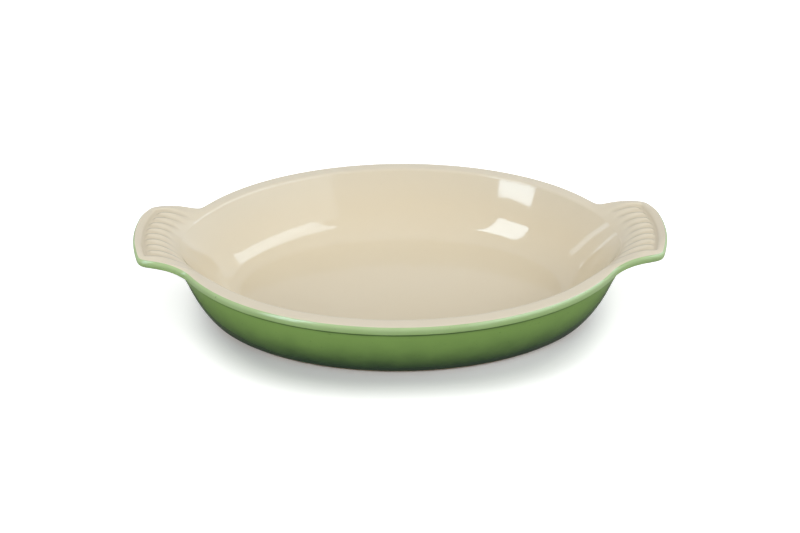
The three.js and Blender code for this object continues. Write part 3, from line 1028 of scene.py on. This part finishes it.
def make_floor(stage, colours, sizes):
    """A wide pale floor that keeps the dish's shadow on a white ground."""
    reach = 4.0
    mesh = bpy.data.meshes.new("floor")
    corners = [(-reach, -reach, 0), (reach, -reach, 0), (reach, reach, 0), (-reach, reach, 0)]
    mesh.from_pydata(corners, [], [(0, 1, 2, 3)])
    material, surface, place = shader("Pale floor")
    put(0.7, surface["Roughness"])
    put(0.2, surface["Specular IOR Level"])
    path = light_path(place.tree)
    put(blend(path["Is Camera Ray"], colours.floor_bounce, colours.floor), surface["Base Color"])
    put((1, 1, 1, 1), surface["Emission Color"])
    # Without the glow in an oval round the dish, the floor there shows a painted shadow along with the lamps'
    # own, wider where the glaze mirrors it
    along, across = GLOW_OVAL
    parts = axes(place)
    long_share = abs(parts["X"] / (along * sizes.rim_length / 2))
    wide_share = abs(parts["Y"] / (across * sizes.rim_width / 2))
    powers = long_share**GLOW_SQUARENESS + wide_share**GLOW_SQUARENESS
    distance = powers ** (1 / GLOW_SQUARENESS) / (path["Is Glossy Ray"] * MIRRORED_SHADOW + 1)
    clear = sees_background(path) * smooth_range(distance, *GLOW_EDGES)
    far = smooth_range(distance, *GLOW_FAR) * path["Is Camera Ray"]
    put(clear * (far * (1 - stage.floor_glow) + stage.floor_glow), surface["Emission Strength"])
    mesh.materials.append(material)
    floor = add_object("floor", mesh)


def make_world(stage):
    """Even light from all round, in front of a white background."""
    world = bpy.data.worlds.new("Daylight")
    bpy.context.scene.world = world
    world.use_nodes = True
    background = world.node_tree.nodes["Background"].inputs
    put((1, 1, 1, 1), background["Color"])
    extra = sees_background(light_path(world.node_tree)) * (1 - stage.daylight)
    put(extra + stage.daylight, background["Strength"])


def make_lamp(name, bearing, lift, distance, size, brightness, mirrored=False, tilt=0, upright=False):
    """A soft rectangular lamp by its bearing and lift, or a card that only the glaze mirrors."""
    turn, rise = math.radians(bearing), math.radians(lift)
    out = Vector((math.cos(turn) * math.cos(rise), math.sin(turn) * math.cos(rise), math.sin(rise)))
    lamp = bpy.data.lights.new(name, "AREA")
    lamp.shape = "RECTANGLE"
    lamp.size, lamp.size_y = size
    lamp.energy = brightness * math.pi * size[0] * size[1]
    lamp.color = CARD_TINT if mirrored else (1, 1, 1)
    holder = add_object(name, lamp)
    holder.location = out * distance
    holder.rotation_mode = "QUATERNION"
    facing = Vector((out.x, out.y, 0 if upright else out.z))
    holder.rotation_quaternion = facing.to_track_quat("Z", "Y") @ Quaternion((0, 0, 1), math.radians(tilt))
    holder.visible_diffuse = not mirrored
    holder.visible_glossy = mirrored


def make_camera(stage):
    """The camera, at the photograph's angle."""
    turn, lift = stage.turn, stage.elevation
    back = Vector((math.sin(turn) * math.cos(lift), -math.cos(turn) * math.cos(lift), math.sin(lift)))
    right = Vector((math.cos(turn), math.sin(turn), 0))
    frame_axes = Matrix((right, back.cross(right), back)).transposed().to_4x4()
    lens = bpy.data.cameras.new("camera")
    lens.sensor_width = 36
    lens.lens = stage.lens
    lens.shift_x = -stage.shift_right / PHOTO_WIDTH
    lens.shift_y = stage.shift_down / PHOTO_WIDTH
    camera = add_object("camera", lens)
    camera.matrix_world = (
        Matrix.Translation(back * stage.distance) @ frame_axes @ Matrix.Rotation(stage.roll, 4, "Z")
    )
    bpy.context.scene.camera = camera


class DISH_OT_stage(bpy.types.Operator):
    """Set up the floor, the lights and the camera"""

    bl_idname = "dish.stage"
    bl_label = "Stage"

    def execute(self, context):
        stage = context.scene.dish_stage
        make_floor(stage, context.scene.dish_colours, context.scene.dish_sizes)
        make_world(stage)
        make_lamp("overhead softbox", 110, 70, 1.6, (1.6, 1.2), 1.15)
        make_lamp("front panel", -90, 38, 2.2, (3.6, 1.6), 1)
        make_lamp("left light", -137, 24, 1.5, (0.6, 0.8), 3.7)
        make_lamp("right light", -16, 32, 1.8, (1.9, 1.0), 2.15)
        make_lamp("left window", -138, 43, 1.5, (0.42, 0.75), 8.5, mirrored=True)
        make_lamp("left low window", -134, 8.5, 1.5, (0.45, 0.34), 8.5, mirrored=True)
        make_lamp("left bar", 164, 17, 1.31, (0.16, 0.35), 2.4, mirrored=True)
        make_lamp("back bar", 139, 11.6, 1.34, (0.12, 0.25), 1.8, mirrored=True)
        make_lamp("right softbox", -18, 45, 1.77, (1.9, 0.65), 4, mirrored=True, tilt=-12)
        make_lamp("right card", -11, 30.6, 2.55, (6.5, 2.6), 1, mirrored=True, upright=True)
        make_camera(stage)
        context.scene.view_settings.view_transform = "Standard"
        return {"FINISHED"}


class DISH_PT_sidebar(bpy.types.Panel):
    """The dish's sizes and colours, and what makes its pieces"""

    bl_idname = "DISH_PT_sidebar"
    bl_label = "Oval baking dish"
    bl_space_type = "VIEW_3D"
    bl_region_type = "UI"
    bl_category = "Baking dish"

    def draw(self, context):
        for group in (context.scene.dish_sizes, context.scene.dish_colours, context.scene.dish_stage):
            box = self.layout.box()
            for name in group.__annotations__:
                box.prop(group, name)
        for operator in PIECES:
            self.layout.operator(operator.bl_idname)


PIECES = (
    DISH_OT_stoneware_body,
    DISH_OT_cream_inner_glaze,
    DISH_OT_green_outer_glaze,
    DISH_OT_underside_glaze,
    DISH_OT_stage,
)
CLASSES = (DishSizes, DishColours, DishStage, *PIECES, DISH_PT_sidebar)


def register():
    for each in CLASSES:
        bpy.utils.register_class(each)
    bpy.types.Scene.dish_sizes = bpy.props.PointerProperty(type=DishSizes)
    bpy.types.Scene.dish_colours = bpy.props.PointerProperty(type=DishColours)
    bpy.types.Scene.dish_stage = bpy.props.PointerProperty(type=DishStage)


def unregister():
    del bpy.types.Scene.dish_stage
    del bpy.types.Scene.dish_colours
    del bpy.types.Scene.dish_sizes
    for each in reversed(CLASSES):
        bpy.utils.unregister_class(each)


def main():
    register()
    bpy.ops.dish.stoneware_body()
    bpy.ops.dish.cream_inner_glaze()
    bpy.ops.dish.green_outer_glaze()
    bpy.ops.dish.underside_glaze()
    bpy.ops.dish.stage()


if __name__ == "__main__":
    main()
